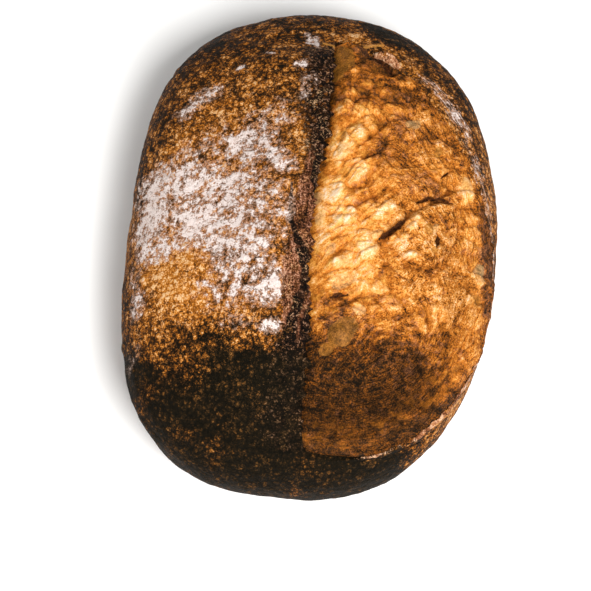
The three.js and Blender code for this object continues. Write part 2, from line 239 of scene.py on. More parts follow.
# Where the crust is darker or paler: ovals, with the change last. The two long ovals at x -89 are painted
# shade along the left edge.
BAKE_AND_SHADE = [
    (-60, 4, 40, 36, 0, -0.2), (-24, -6, 20, 50, 0, -0.1), (-66, -30, 18, 20, 0, -0.22),
    (-60, -48, 24, 13, 15, -0.22), (-60, 40, 24, 12, 20, -0.08), (-30, 62, 26, 14, 20, 0.02),
    (40, 95, 13, 6, -40, -0.34), (47, 85, 7, 4, -45, -0.14), (6, 107, 12, 6, 10, -0.32),
    (-8, 112, 18, 7, 0, 0.16), (-16, 60, 9, 12, 0, 0.12), (-80, 46, 8, 14, 20, 0.26),
    (-10, 79, 4, 3, 20, -0.3), (-33, -25, 5, 4, 20, 0.16), (-70, 84, 16, 30, -40, 0.2),
    (-89, 26, 6, 44, 6, 0.34), (27, 112, 16, 8, -25, 0.4), (-89, -60, 6, 34, 0, 0.3),
    (-5, 0, 6, 17, 0, 0.2), (66, 86, 26, 9, -42, 0.16),
]
# The seam that wanders along the ear: painted shade in its crease, speckled as charred crust: (x, y, half
# width).
SEAM = [
    (-11, 12, 0.6), (-11, 4, 1), (-10, -6, 1), (-7.4, -15, 1.3), (-5, -21, 1.7), (-2.6, -28, 2),
    (-2, -34, 2), (-2.4, -41, 2.2), (-4.4, -48, 2.4), (-6, -58, 3), (-6, -68, 4),
]
# The golden edge round the far end of the score.
FAR_RIM = [(-3, 98), (8, 97), (15, 96), (21, 101), (27, 103)]
# The round blisters in the crust's finish, and how far their outlines are shaken.
BLISTER_SIZE = 2.6
BLISTER_SHAKE = 2.4

# The studio, in metres but for the camera's target. Each lamp has a direction, size and power.
CAMERA = {"azimuth": 5.147, "elevation": 72, "target": (-6.2, -25.1, 44), "distance": 0.9, "lens": 107.5}
LAMPS = [("key", (0.3, -0.42, 0.86), 0.45, 24.5), ("fill", (-0.4, -0.5, 0.9), 1.2, 5.5)]
LAMP_DISTANCE = 1.3
SKY_STRENGTH = 0.3
FLOOR_RADIUS = 6


def ramp(start, end, value):
    """Rises smoothly from 0 at start to 1 at end, either of which may be larger."""
    share = np.clip((value - start) / (end - start), 0, 1)
    return share * share * (3 - 2 * share)


def hump(distance, radius):
    return np.exp(-2 * (distance / radius) ** 2)


def mix(first, second, share):
    return first + (second - first) * share


SLOPES = np.random.default_rng(11).normal(size=(32, 32, 32, 3))
SLOPES /= np.linalg.norm(SLOPES, axis=-1, keepdims=True)


def rough(points, size, seed=0):
    """Smooth noise of about -1 to 1, with lumps about one size across."""
    cell = points / np.asarray(size) + 7.31 * seed
    corner = np.floor(cell).astype(int)
    offset = cell - corner
    fade = offset**3 * (offset * (offset * 6 - 15) + 10)
    total = 0
    for step in itertools.product((0, 1), repeat=3):
        i, j, k = np.moveaxis((corner + step) % 32, -1, 0)
        weight = np.prod(np.where(step, fade, 1 - fade), axis=-1)
        total = total + weight * np.sum(SLOPES[i, j, k] * (offset - step), axis=-1)
    return 1.6 * total


def layers(points, rows):
    return sum(amount * rough(points, size, seed) for size, amount, seed in rows)


def ragged(y, name):
    return layers(np.stack([y, np.zeros_like(y), np.zeros_like(y)], axis=-1), RAGGED[name])


def scatter(i, j, seed):
    """A number from 0 to 1 of each square's own."""
    value = np.sin(i * 12.9898 + j * 78.233 + seed * 37.719) * 43758.5453
    return value - np.floor(value)


def pebbles(x, y, size, seed):
    """Distance to the nearest of scattered middles, how much further the next is, and its own number."""
    x, y = x / size, y / size
    nearest, second, own = np.full(x.shape, 9.0), np.full(x.shape, 9.0), np.zeros(x.shape)
    for step_x, step_y in itertools.product((-1, 0, 1), repeat=2):
        i, j = np.floor(x) + step_x, np.floor(y) + step_y
        distance = np.hypot(x - i - scatter(i, j, seed), y - j - scatter(i, j, seed + 1))
        closer = distance < nearest
        own = np.where(closer, scatter(i, j, seed + 2), own)
        second = np.where(closer, nearest, np.minimum(second, distance))
        nearest = np.minimum(nearest, distance)
    return nearest, second - nearest, own


def turned(x, y, turn):
    """Lengths along and across a direction."""
    return x * math.cos(turn) + y * math.sin(turn), y * math.cos(turn) - x * math.sin(turn)


def strewn(dice, table):
    """Spots drawn at random, each number within its span."""
    return [[dice.uniform(*span) for span in table["spans"]] for _ in range(table["count"])]


def oval(x, y, spot):
    """How far each place is from an oval's middle, as a share of its half sizes."""
    middle_x, middle_y, half_length, half_width, turn = spot[:5]
    along, across = turned(x - middle_x, y - middle_y, math.radians(turn))
    return np.hypot(along / half_length, across / half_width)


def patches(x, y, spots, uneven, inner=0.3):
    """The changes of a table of ovals, each fading out at its edge."""
    return sum(spot[5] * ramp(1.4, inner, oval(x, y, spot) + uneven) for spot in spots)


def trail(x, y, points):
    """Distance to the nearest stretch of a line of points, and where on the line that is."""
    nearest, place = np.full(x.shape, 1e9), np.zeros(x.shape)
    for index, (start, end) in enumerate(itertools.pairwise(points)):
        along = np.subtract(end[:2], start[:2])
        from_x, from_y = x - start[0], y - start[1]
        share = np.clip((from_x * along[0] + from_y * along[1]) / (along @ along), 0, 1)
        distance = np.hypot(from_x - share * along[0], from_y - share * along[1])
        closer = distance < nearest
        nearest, place = np.where(closer, distance, nearest), np.where(closer, index + share, place)
    return nearest, place


def tapered(x, y, line, fade):
    """Distance to a line, and a share that fades to 0 at its two ends."""
    distance, place = trail(x, y, line)
    last = len(line) - 1
    return distance, ramp(0, fade, place) * ramp(last, last - fade, place)


def third_values(place, points):
    """The third value of a line's points, between them too."""
    return np.interp(place, range(len(points)), [point[2] for point in points])


def is_inside(x, y, outline):
    inside = np.zeros(x.shape, bool)
    for start, end in itertools.pairwise([*outline, outline[0]]):
        spans = (start[1] > y) != (end[1] > y)
        rise = end[1] - start[1] if end[1] != start[1] else 1e-9
        inside ^= spans & (x < start[0] + (end[0] - start[0]) * (y - start[1]) / rise)
    return inside


# The dome.


def plan_sum(x, y, power):
    return np.abs(x / HALF_WIDTH) ** power + np.abs(y / HALF_LENGTH) ** power


def dome_sizes(x, z):
    plan = np.where(x > 0, PLAN_POWER["right"], PLAN_POWER["left"])
    side = np.where(z > 0, SIDE_POWER["upper"], SIDE_POWER["lower"])
    return plan, side, np.where(z > 0, DOME_RISE, UNDERSIDE_REACH)


def dome_points(turns, angles):
    """The dome's points on cuts at these turns from its far end, by angle round each."""
    x = HALF_WIDTH * np.sin(turns)[:, None] * np.cos(angles)
    y = HALF_LENGTH * np.cos(turns)[:, None] * np.ones_like(angles)
    rise = np.where(angles > 0, DOME_RISE, UNDERSIDE_REACH)
    z = rise * np.sin(turns)[:, None] * np.sin(angles)
    plan, side, rise = dome_sizes(x, z)
    level = plan_sum(x, y, plan) ** (side / plan) + np.abs(z / rise) ** side
    return np.stack([x, y, z], axis=-1) * level[..., None] ** (-1 / side[..., None])


def dome_normals(points):
    x, y, z = np.moveaxis(points, -1, 0)
    plan, side, rise = dome_sizes(x, z)
    share = np.maximum(plan_sum(x, y, plan), 1e-9) ** (side / plan - 1)

    def slope(value, half, power):
        return np.sign(value) * np.abs(value / half) ** (power - 1) / half

    across = share * slope(x, HALF_WIDTH, plan)
    along = share * slope(y, HALF_LENGTH, plan)
    normals = np.stack([across, along, slope(z, rise, side)], axis=-1)
    return normals / np.linalg.norm(normals, axis=-1, keepdims=True)


def flatten_base(z):
    return np.where(z > BASE_ROUNDING, z, np.maximum(z + BASE_ROUNDING, 0) ** 2 / (4 * BASE_ROUNDING))


# Where the score and the tear run.


def score_x(y):
    return SCORE["x"] + SCORE["sway"] * np.sin(2 * math.pi * (y - SCORE["sway_start"]) / SCORE["sway_length"])


def score_opening(y, fade=SCORE["fade"]):
    return ramp(SCORE["near"], SCORE["near"] + fade, y) * ramp(SCORE["far"], SCORE["far"] - fade, y)


def ear_height(y):
    return ramp(*EAR_TAPER["near"], y) * mix(1, EAR_TAPER["far_rise"], ramp(*EAR_TAPER["far"], y))


def ear_width(y):
    return mix(1, EAR_TAPER["far_width"], ramp(*EAR_TAPER["far"], y))


def tear_share(y):
    return np.clip((y - TEAR["middle"]) / np.where(y > TEAR["middle"], TEAR["far"], TEAR["near"]), -1, 1)


def tear_power(y):
    return np.where(y > TEAR["middle"], TEAR["far_power"], TEAR["near_power"])


def tear_x(y):
    return TEAR["reach"] * (1 - tear_share(y) ** 2) ** tear_power(y)


def within_tear(x, y):
    """1 on the tear, falling to 0 at the middle of the score."""
    return (np.maximum(x, 0) / TEAR["reach"]) ** (1 / tear_power(y)) + tear_share(y) ** 2


class Cuts:
    """Cuts across the dome's top, and where the score and the tear are on each, by arc length."""

    def __init__(self, turns):
        self.turns = turns
        self.points = dome_points(turns, np.linspace(math.pi, 0, 640))
        steps = np.linalg.norm(np.diff(self.points, axis=1), axis=-1)
        self.arcs = np.pad(np.cumsum(steps, axis=1), ((0, 0), (1, 0)))
        x, y = self.points[..., 0], self.points[..., 1]
        self.score = self.crossing(x - score_x(y))
        self.end = self.arcs[:, -1:]
        self.narrowing = np.clip(self.points[:, -1:, 0] / (0.62 * HALF_WIDTH), 0.05, 1)
        self.score_y = self.along(self.score)[..., 1]
        self.ear_scale = self.narrowing * ear_width(self.score_y)
        narrowest = self.score + EAR_END * self.ear_scale + BLOOM_LEAST * self.narrowing
        tear = np.maximum(self.crossing(x - tear_x(y)), narrowest)
        torn = ragged(self.along(tear)[..., 1], "tear") * self.narrowing
        self.tear = np.minimum(tear + torn, self.end - SIDE_LEAST * self.narrowing)

    def crossing(self, gaps):
        return np.array([[np.interp(0, gap, arc)] for gap, arc in zip(gaps, self.arcs)])

    def along(self, arcs):
        """The dome's points at these arc lengths of each cut."""
        return np.array(
            [
                np.stack([np.interp(arc, known, points[:, axis]) for axis in range(3)], axis=-1)
                for arc, known, points in zip(arcs, self.arcs, self.points)
            ]
        )


class Sheet:
    """Points of the dome, in parts side by side on every cut, and their distances from score and tear."""

    def __init__(self, cuts, parts):
        widths = [arcs.shape[1] for arcs in parts.values()]
        stops = itertools.accumulate(widths)
        self.part = {name: slice(stop - width, stop) for name, width, stop in zip(parts, widths, stops)}
        self.arcs = np.concatenate([*parts.values()], axis=1)
        self.points = cuts.along(self.arcs)
        self.x, self.y, self.z = np.moveaxis(self.points, -1, 0)
        self.normals = dome_normals(self.points)
        self.up = self.normals[..., 2]
        sideways = np.stack([self.up, np.zeros_like(self.x), -self.normals[..., 0]], axis=-1)
        self.sideways = sideways / np.maximum(np.linalg.norm(sideways, axis=-1, keepdims=True), 1e-6)
        self.across = self.arcs - cuts.score
        self.ear_scale = cuts.ear_scale
        self.from_score = self.across / cuts.ear_scale
        self.from_tear = (self.arcs - cuts.tear) / cuts.narrowing
        self.opened = score_opening(self.y, TRENCH_FADE)

    def moved(self, rise, shift):
        return self.points + self.normals * rise[..., None] + self.sideways * shift[..., None]


def smooth_rows(rows, count):
    """As many rows as asked for, on a smooth line through a section's rows."""
    rows = np.array(rows, float)
    places = np.linspace(0, len(rows) - 1, count)
    index = np.minimum(places.astype(int), len(rows) - 2)
    share = (places - index)[:, None]
    before, after = rows[np.maximum(index - 1, 0)], rows[np.minimum(index + 2, len(rows) - 1)]
    start, end = rows[index], rows[index + 1]
    bend = 2 * before - 5 * start + 4 * end - after
    return start + share / 2 * (end - before + share * (bend + share * (3 * (start - end) + after - before)))


def spread(start, end, count):
    """Arc lengths evenly between two, without the ends."""
    return mix(start, end, (np.arange(count) + 1) / (count + 1))


def with_poles(rows, ends=None):
    """Adds a shell's two ends, each a ring drawn into one point: the last ring's middle unless given."""
    ends = ends or (rows[0].mean(axis=0), rows[-1].mean(axis=0))
    first, last = (np.broadcast_to(end, rows[:1].shape) for end in ends)
    return np.concatenate([first, rows, last])


def formed(name, bm):
    mesh = bpy.data.meshes.new(name)
    bm.to_mesh(mesh)
    bm.free()
    piece = bpy.data.objects.new(name, mesh)
    bpy.context.scene.collection.objects.link(piece)
    return piece


def lay(name, place, marks):
    """A closed shell: a ball with its rings and columns moved to their places, and a mark at each."""
    rings, columns = len(place) - 1, place.shape[1]
    bm = bmesh.new()
    bmesh.ops.create_uvsphere(bm, u_segments=columns, v_segments=rings, radius=1)
    directions = np.array([vertex.co for vertex in bm.verts])
    ring = np.rint(np.arccos(np.clip(directions[:, 2], -1, 1)) / math.pi * rings).astype(int)
    turn = np.arctan2(directions[:, 1], directions[:, 0]) / (2 * math.pi)
    column = np.rint(turn * columns).astype(int) % columns
    for vertex, spot in zip(bm.verts, place[ring, column] * MM):
        vertex.co = spot
    bmesh.ops.recalc_face_normals(bm, faces=bm.faces)
    piece = formed(name, bm)
    piece.data.shade_smooth()
    for mark, values in marks.items():
        values = values[ring, column]
        kind, field = ("FLOAT_VECTOR", "vector") if values.ndim > 1 else ("FLOAT", "value")
        layer = piece.data.attributes.new(mark, kind, "POINT")
        layer.data.foreach_set(field, values.astype(np.float32).ravel())
    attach(piece, "root")
    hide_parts("loaf")
    return piece


# The crust.


def crust_lift(x, y):
    """How the crust rises towards the ear, and the loaf's slow unevenness."""
    from_score = x - score_x(y)
    ear = EAR_RISE * score_opening(y) * ear_height(y) * ramp(-EAR_REACH, -EAR_CREST, from_score) ** 1.5
    lift = np.where(from_score < 0, ear, 0)
    for cheek_x, cheek_y, radius, height in CHEEKS:
        lift = lift + height * hump(np.hypot(x - cheek_x, y - cheek_y), radius)
    return lift


def crust_grain(points):
    """Fine lumps of the crust, never above its smooth form."""
    return layers(points, CRUST_GRAIN) - CRUST_GRAIN_TOP


def flap_share(place):
    """How tall the flap stands along its line, as a share."""
    return ramp(0, 0.7, place) * ramp(2.8, 1.1, place)


def crust_top(sheet, ear, lip):
    """The top of the crust with ear, trench, torn lip, grain and blisters, and two of its marks."""
    ear_part, trench_part, lip_part = (sheet.part[name] for name in ("ear", "trench", "lip"))
    x, y, from_score = sheet.x, sheet.y, sheet.from_score
    rise, shift = crust_lift(x, y) * ramp(0, 0.35, sheet.up), np.zeros_like(x)

    ear_y = y[:, ear_part]
    opening = score_opening(ear_y)
    lift = ear[:, 2] * (EAR_EVEN_HEIGHT + ragged(ear_y, "ear_height"))
    standing = lift * opening * ear_height(ear_y)
    rise[:, ear_part] = np.where(lift > 0, standing, lift * sheet.opened[:, ear_part])
    bend = ragged(ear_y, "ear_edge") * hump(ear[:, 0] + 0.5, 4)
    shift[:, ear_part] = (ear[:, 1] * sheet.ear_scale + bend) * opening
    rise[:, trench_part] = -TRENCH_DEPTH * sheet.opened[:, trench_part]

    lip_y, opened = y[:, lip_part], sheet.opened[:, lip_part]
    distance, place = trail(x[:, lip_part], lip_y, FLAP_LINE)
    flap = hump(distance, FLAP["width"]) * ramp(-0.9, 0.3, lip[:, 0]) * flap_share(place)
    curl = (1 + ragged(lip_y, "lip")) * mix(0.4, 1, ramp(20, -30, lip_y))
    standing = lip[:, 2] * np.where(lip[:, 2] > 0, curl, 1) + FLAP["height"] * flap
    rise[:, lip_part] += standing * opened
    shift[:, lip_part] = (lip[:, 1] + FLAP["lean"] * flap) * opened

    drawn_out = np.stack([sheet.arcs, y * 0.12, np.zeros_like(x)], axis=-1)
    on_ear = ramp(-15, -10, from_score) * ramp(1, -0.5, from_score) * sheet.opened
    rim_distance, _ = trail(x, y, FAR_RIM)
    gold = np.exp(-rim_distance / 1.6)
    rise += crust_grain(sheet.points) * ramp(0, 0.2, sheet.up + 0.15)
    rise += 0.4 * rough(drawn_out, 1.4, 9) * on_ear + 0.8 * gold
    blisters = np.zeros_like(x)
    for middle_x, middle_y, radius in strewn(np.random.default_rng(5), CRUST_BLISTERS):
        near = np.clip(1 - (np.hypot(x - middle_x, y - middle_y) / radius) ** 2, 0, 1)
        rise += CRUST_BLISTERS["height"] * radius**0.6 * near * (from_score < -14)
        blisters = np.maximum(blisters, near)
    return sheet.moved(rise, shift), {"gold": gold, "blister": blisters}


def crust_underside(turns):
    """The flanks and the flat base below the cuts, and how dark they are."""
    edges = [-math.asin((BELLY_HEIGHT - up) / UNDERSIDE_REACH) for up in (BASE_ROUNDING, -BASE_ROUNDING)]
    right_flank = np.linspace(0, edges[0], CRUST_COLUMNS["flank"] + 1)[1:]
    base = np.linspace(edges[1], -math.pi - edges[1], CRUST_COLUMNS["base"])
    left_flank = np.linspace(-math.pi - edges[0], -math.pi, CRUST_COLUMNS["flank"] + 1)[:-1]
    points = dome_points(turns, np.concatenate([right_flank, base, left_flank]))
    normals = dome_normals(points)
    grain = crust_grain(points) * ramp(-0.9, -0.6, normals[..., 2])
    grain *= ramp(1 - BELLY_HEIGHT, 9 - BELLY_HEIGHT, points[..., 2])
    points = points + normals * grain[..., None]
    return points, baked_and_shaded(points, normals[..., 2])


def baked_and_shaded(points, upwards):
    """How dark the crust is: its baking, darker towards the far end, with painted shade darkening the near
    end and the left edge, and plain under the loaf.
    """
    x, y = points[..., 0], points[..., 1]
    bake = 0.42 + layers(points, BAKE_PATCHES)
    uneven, top = 0.2 * rough(points, 9, 16), ramp(-0.1, 0.25, upwards)
    bake += patches(x, y, BAKE_AND_SHADE, uneven) * top
    # Painted shade: the near end, most of all on its left, darkened as if in shadow.
    from_shaded_end = y + 54 + 11 * ramp(-40, -80, x) + 9 * rough(points, 16, 17)
    bake += 0.26 * ramp(58, 104, y) + 0.66 * ramp(4, -20, from_shaded_end) * ramp(80, 40, x)
    underneath = 0.6 + 0.2 * rough(points, 20, 36)
    return mix(underneath, bake, ramp(-0.7, 0.1, upwards))


def flour_on(sheet, top):
    """Flour on the crust, none on the ear, thin on the steep flanks, and a band of it outside the tear."""
    x, y = sheet.x, sheet.y
    bare = np.ones_like(x)
    for spot in FLOUR:
        bare *= 1 - spot[5] * ramp(1.4, 0.3, oval(x, y, spot))
    ear_start = mix(-8.5, -5.5, hump(np.abs(y), 30)) - 2 * rough(top, 5, 20)
    flour = 0.9 * (1 - bare) * ramp(0, -5, sheet.from_score - ear_start)
    from_band = sheet.from_tear - mix(3, 12, ramp(10, 76, y)) + 1.5 * rough(top, 9, 21)
    band = hump(from_band, 8.5) * ramp(-96, -60, y) * ramp(92, 78, y) * (sheet.from_tear > 0)
    flour = np.maximum(flour, band * np.clip(0.46 + ragged(y, "flour_band"), 0, 0.68))
    # Thinning it on the steep flanks darkens them, partly as painted shade.
    return flour * ramp(0.12, 0.46, sheet.up)


def char_and_shade_on(sheet, top):
    """Dark crust along the score: charred on the ear's edge and its far stretch, and painted shade in the
    slot under that edge, on the near stretch, in the seam and in the trench.
    """
    y, from_score = sheet.y, sheet.from_score
    # The ear's edge: charred, and painted shade in the slot below it.
    edge_line = 0.8 + ragged(y, "burnt_edge")
    inwards = 4.2 * ramp(-58, -44, y) * ramp(20, 4, y)
    edge = ramp(-5.5, -1.5, from_score + edge_line - inwards) * ramp(2.6, 0.6, from_score - edge_line)
    reach = mix(-12, -19, ramp(30, 66, y)) + ragged(y, "far_burn")
    far_burn = ramp(reach - 3, reach + 10, sheet.across) * ramp(3, 0, from_score)
    far_burn *= 0.72 * ramp(4, 40, y) * ramp(99, 90, y)
    # Painted shade on the ear's near stretch.
    near_end_shade = 0.7 * ramp(-26, -8, sheet.across) * ramp(6, 0, from_score) * ramp(-56, -68, y)
    # The seam: painted shade in the crease beside the ear's lip, speckled as charred crust.
    distance, place = trail(sheet.x, y, SEAM)
    width = third_values(place, SEAM)
    seam = 0.8 * ramp(1.5, 0.5, (distance + 0.9 * rough(top, 3.4, 37)) / width) * (from_score < 1)
    # Painted shade in the trench under the ear.
    trench = ramp(-0.6, 0.8, from_score) * ramp(40, 10, from_score)
    return np.maximum.reduce([edge, far_burn, near_end_shade, seam, trench]) * sheet.opened


def rim_and_flap_highlight(sheet, top):
    """Pale torn crust on the near stretch of the lip, and a painted highlight on the flap's face."""
    y, from_tear = sheet.y, sheet.from_tear
    rim = ramp(-1, 0.2, from_tear) * ramp(2.6, 1, from_tear) * ramp(-4, -24, y) * sheet.opened
    rim *= np.clip(0.85 + ragged(y, "rim"), 0, 1)
    distance, place = trail(sheet.x, y, FLAP_LINE)
    face = FLAP["face"] * flap_share(place) + 1.6 * rough(top, 2.6, 39)
    # Painted highlight on the flap's face.
    flap_highlight = ramp(1, -1, distance - face) * ramp(0.1, 0.4, flap_share(place))
    return np.maximum(rim, 0.85 * flap_highlight * ramp(-1.6, -0.6, from_tear) * ramp(4.6, 3, from_tear))


def build_crust():
    share = np.arange(1, CRUST_RINGS) / CRUST_RINGS
    cuts = Cuts(math.pi * share + 0.12 * np.sin(2 * math.pi * share))
    ear = smooth_rows(EAR_SECTION, CRUST_COLUMNS["ear"])
    lip = smooth_rows(LIP_SECTION, CRUST_COLUMNS["lip"])
    ear_arcs = cuts.score + ear[:, 0] * cuts.ear_scale
    lip_arcs = cuts.tear + lip[:, 0] * cuts.narrowing
    start = np.zeros_like(cuts.end)
    trench_end = np.maximum(lip_arcs[:, :1], ear_arcs[:, -1:] + 0.5)
    parts = {
        "left_edge": start,
        "crust": spread(start, ear_arcs[:, :1], CRUST_COLUMNS["crust"]),
        "ear": ear_arcs,
        "trench": spread(ear_arcs[:, -1:], trench_end, CRUST_COLUMNS["trench"]),
        "lip": lip_arcs,
        "side": spread(lip_arcs[:, -1:], cuts.end, CRUST_COLUMNS["side"]),
        "right_edge": cuts.end,
    }
    sheet = Sheet(cuts, parts)
    top, marks = crust_top(sheet, ear, lip)
    under, under_bake_and_shade = crust_underside(cuts.turns)
    points = np.concatenate([top, under], axis=1)
    points[..., 2] = flatten_base(points[..., 2] + BELLY_HEIGHT)
    end = HALF_LENGTH - CRUST_END_DIP

    y, from_score, from_tear = sheet.y, sheet.from_score, sheet.from_tear
    left, level = from_score < 0, np.zeros_like(y)
    band_start = mix(-13.5, -10.5, ramp(-30, -12, y))
    band = ramp(band_start, band_start + 4, from_score) * ramp(1.5, 0, from_score) * ramp(66, 36, y)
    rim = rim_and_flap_highlight(sheet, top)
    left_lie = np.stack([sheet.arcs, y, level], axis=-1)
    right_lie = np.stack([from_tear, 84 * np.arctan2(y + 20, sheet.x + 20), level], axis=-1)
    marks |= {
        "flour": flour_on(sheet, top),
        "bake": baked_and_shaded(top, sheet.up) - np.where(left, 0, 0.1) * ramp(16, 2, from_tear),
        "char": char_and_shade_on(sheet, top) * (1 - rim),
        "band": band * sheet.opened,
        "rim": rim * (from_tear > -2),
        "lie": np.where(left[..., None], left_lie, right_lie) * MM,
        "right": 1.0 * ~left,
    }
    for name, values in marks.items():
        below = under_bake_and_shade if name == "bake" else np.zeros((*under.shape[:2], *values.shape[2:]))
        marks[name] = with_poles(np.concatenate([values, below], axis=1))
    return lay("crust", with_poles(points, [(0, end, BELLY_HEIGHT), (0, -end, BELLY_HEIGHT)]), marks)


# The bloom.


def lumps(along, across, kind):
    """Rounded lumps side by side, and how far each place is from a seam."""
    size, stretch, least, seed = LUMPS[kind]
    far, gap, own = pebbles(along / stretch, across, size, seed)
    return (1 - np.minimum(far, 1) ** 2) * mix(least, 1, own), gap


def lobes_of_dough(x, y):
    """Soft lobes with valleys between them, about 0 on the whole."""
    along, across = turned(x, y, BLOOM_SLANT)
    bent = across + 3 * np.sin(along / 11) + 2 * np.sin(across / 17 + 1)
    slid = along + 4 * np.sin(across / 9)
    lobes, gap = lumps(slid, bent, "lobes")
    return BLOOM_LOBES["height"] * (lobes - BLOOM_LOBES["middle"]) - BLOOM_LOBES["valley"] * hump(gap, 0.22)


def dough_flow(points):
    """Along and across the way the dough was drawn out: slantwise, and round the tear beside it."""
    x, y, z = np.moveaxis(points, -1, 0)
    level = within_tear(x, y)
    near_tear = ramp(0.35, 0.85, level)
    along, across = turned(x, y, FLOW_SLANT)
    round_tear = np.arctan2(y + 20, x + 20) * 70
    along = mix(along, round_tear, near_tear) + 6 * rough(points, 20, 20)
    across = mix(across, 46 * level, near_tear) + 8 * rough(points, 34, 21) + 3.4 * rough(points, 12, 22)
    return np.stack([along, across, z], axis=-1)


def bubbles(x, y, points):
    """Marks for the gold and the pale skins, halos round them, and their height."""
    uneven = 0.16 * rough(points, 3.4, 23)
    skins, halo, height = [], np.zeros_like(x), np.zeros_like(x)
    for spots in (SKINS, PALE_SKINS):
        skin = np.zeros_like(x)
        for spot in spots:
            far = oval(x, y, spot) + uneven
            skin = np.maximum(skin, ramp(1.1, 0.8, far))
            halo = np.maximum(halo, hump(far - 1.2, 0.3))
            height = height + spot[5] * np.clip(1 - far**2, 0, 1)
        skins.append(skin)
    return *skins, halo, height


def pale_lobes(x, y, points):
    uneven = 0.2 * rough(points, 4, 24)
    lobes = np.zeros_like(x)
    for spot in LOBES:
        far = oval(x, y, spot) + uneven
        lobes = np.maximum(lobes, spot[5] * np.clip(1.1 - far**2, 0, 1) ** 0.8)
    return lobes


def cracks_and_folds(x, y, points):
    """A mark for the cracks' dark bottoms, which is painted shade, and the depth of cracks and folds."""
    uneven = 0.9 * rough(points, 2.6, 25)
    crack, depth = np.zeros_like(x), np.zeros_like(x)
    for line, deep, wide in CRACKS:
        distance, taper = tapered(x, y, line, 0.5)
        valley = np.exp(-np.abs(distance + uneven) / wide) * (0.35 + 0.65 * taper)
        depth = np.maximum(depth, deep * valley)
        crack = np.maximum(crack, valley**1.6 * taper * min(deep / 2.4, 1))
    return crack, depth


def tongue_of_dough(x, y, points):
    """The tongue's lift, the wrinkles round it, and the crack at its edge, darkened as painted shade, with
    its depth.
    """
    outline = [*TONGUE, TONGUE[0]]
    distance, place = trail(x, y, outline)
    deep = third_values(place, outline)
    outside = np.where(is_inside(x, y, TONGUE), -distance, distance) + 0.7 * rough(points, 3, 26)
    lift = TONGUE_LIFT * ramp(0.6, -3, outside) * ramp(0, 3, deep)
    wrinkles = np.sin(2.2 * outside + rough(points, 8, 40)) * hump(outside, 8) * ramp(48, 60, x)
    valley = np.where(outside > 0, np.exp(-outside / 2.6), np.exp(outside / 0.9))
    crack = valley ** mix(1.4, 0.8, ramp(2, 4, deep)) * ramp(1.2, 3, deep)
    return lift, wrinkles, crack, deep * valley


def deep_gashes(x, y, points):
    uneven = 0.6 * rough(points, 2.2, 38)
    gash = np.zeros_like(x)
    for line, wide in GASHES:
        distance, taper = tapered(x, y, line, 0.7)
        gash = np.maximum(gash, ramp(1.3, 0.4, (distance + uneven) / (wide * (0.3 + 0.7 * taper))))
    return gash


def small_holes(x, y, dice):
    """A mark for the holes, and how deep they are."""
    holes, depth = np.zeros_like(x), np.zeros_like(x)
    for pit_x, pit_y, radius, pit_depth in [*PITS, *((*spot, 0.7) for spot in strewn(dice, SMALL_PITS))]:
        near = hump(np.hypot(x - pit_x, y - pit_y), radius)
        depth = np.maximum(depth, pit_depth * near)
        holes = np.maximum(holes, near * min(radius, 1))
    return holes, depth


def small_blisters(x, y, dice):
    blisters = np.zeros_like(x)
    for spot in strewn(dice, SMALL_BLISTERS):
        near = np.clip(1 - oval(x, y, spot) ** 2, 0, 1) ** 0.7
        blisters = np.maximum(blisters, SMALL_BLISTERS["height"] * spot[3] * near)
    return blisters


def bloom_surface(points):
    """Lift of the bloom over the dome, and its marks."""
    x, y, _ = np.moveaxis(points, -1, 0)
    flow, level = dough_flow(points), within_tear(x, y)
    skin, pale_skin, halo, bubble_height = bubbles(x, y, points)
    lobes = pale_lobes(x, y, points)
    crack, depth = cracks_and_folds(x, y, points)
    tongue, wrinkles, tongue_crack, tongue_depth = tongue_of_dough(x, y, points)
    gash = deep_gashes(x, y, points)
    dice = np.random.default_rng(9)
    holes, hole_depth = small_holes(x, y, dice)
    blisters = small_blisters(x, y, dice)
    # The holes and the tongue's crack join the cracks' painted shade.
    crack = np.maximum.reduce([crack, tongue_crack, 0.8 * holes])
    depth = np.maximum.reduce([depth, tongue_depth, GASH_DEPTH * gash, hole_depth])

    by_tear = 0.5 * ramp(0.6, 0.76, level) * ramp(0.94, 0.84, level) * ramp(45, 30, y)
    softness = np.maximum(ramp(50, 20, x + 6 * rough(points, 12, 33)) * ramp(-62, -44, y), by_tear)
    softness = np.maximum(softness, 0.9 * np.clip(lobes / 0.9, 0, 1)) * mix(1, 0.35, ramp(66, 80, y))
    along, across = flow[..., 0], flow[..., 1]
    cushions, gap = lumps(along, across, "cushions")
    seams = hump(gap, 0.2)
    knobs, _ = lumps(along, across, "knobs")
    folds = 1 - 2.2 * np.abs(rough(flow, (17, 5.6, 30), 27))
    toast = patches(x, y, TOAST, 0.3 * rough(points, 7, 30), 0.2)

    calm = 1 - 0.85 * np.clip(skin + pale_skin, 0, 1)
    broad = lobes_of_dough(x, y) * mix(0.45, 1, softness) * (1 - 0.7 * skin)
    packed = mix(0.6, 1, softness)
    detail = packed * (1.9 * (cushions - 0.4) - 0.5 * seams) + 0.7 * (knobs - 0.4)
    detail += mix(0.4, 1.1, softness) * folds + 0.16 * rough(points, 1.5, 29)
    lift = BLOOM_RISE + broad + tongue + 0.3 * wrinkles + bubble_height + lobes - depth
    lift += (blisters + detail) * calm
    # The tone follows the relief: lighter on lobes, cushions, blisters and wrinkles, partly as painted
    # highlight, and darker in seams, partly as painted shade.
    hollow = 0.07 * broad + packed * (0.17 * (cushions - 0.45) - 0.1 * seams) + 0.06 * (knobs - 0.45)
    hollow += mix(0.05, 0.12, softness) * folds
    tone = hollow * 1.15 + 0.13 * lobes + 0.22 * blisters + 0.1 * halo + 0.02 * tongue + 0.07 * wrinkles
    # Painted shade: darker where it is deep.
    tone -= 0.05 * depth + toast
    marks = {"tone": tone, "crack": crack, "gash": gash, "skin": skin, "pale_skin": pale_skin}
    return lift, marks | {"flow": flow * MM, "soft": softness * ramp(0.3, 0.05, toast), "toast": toast}


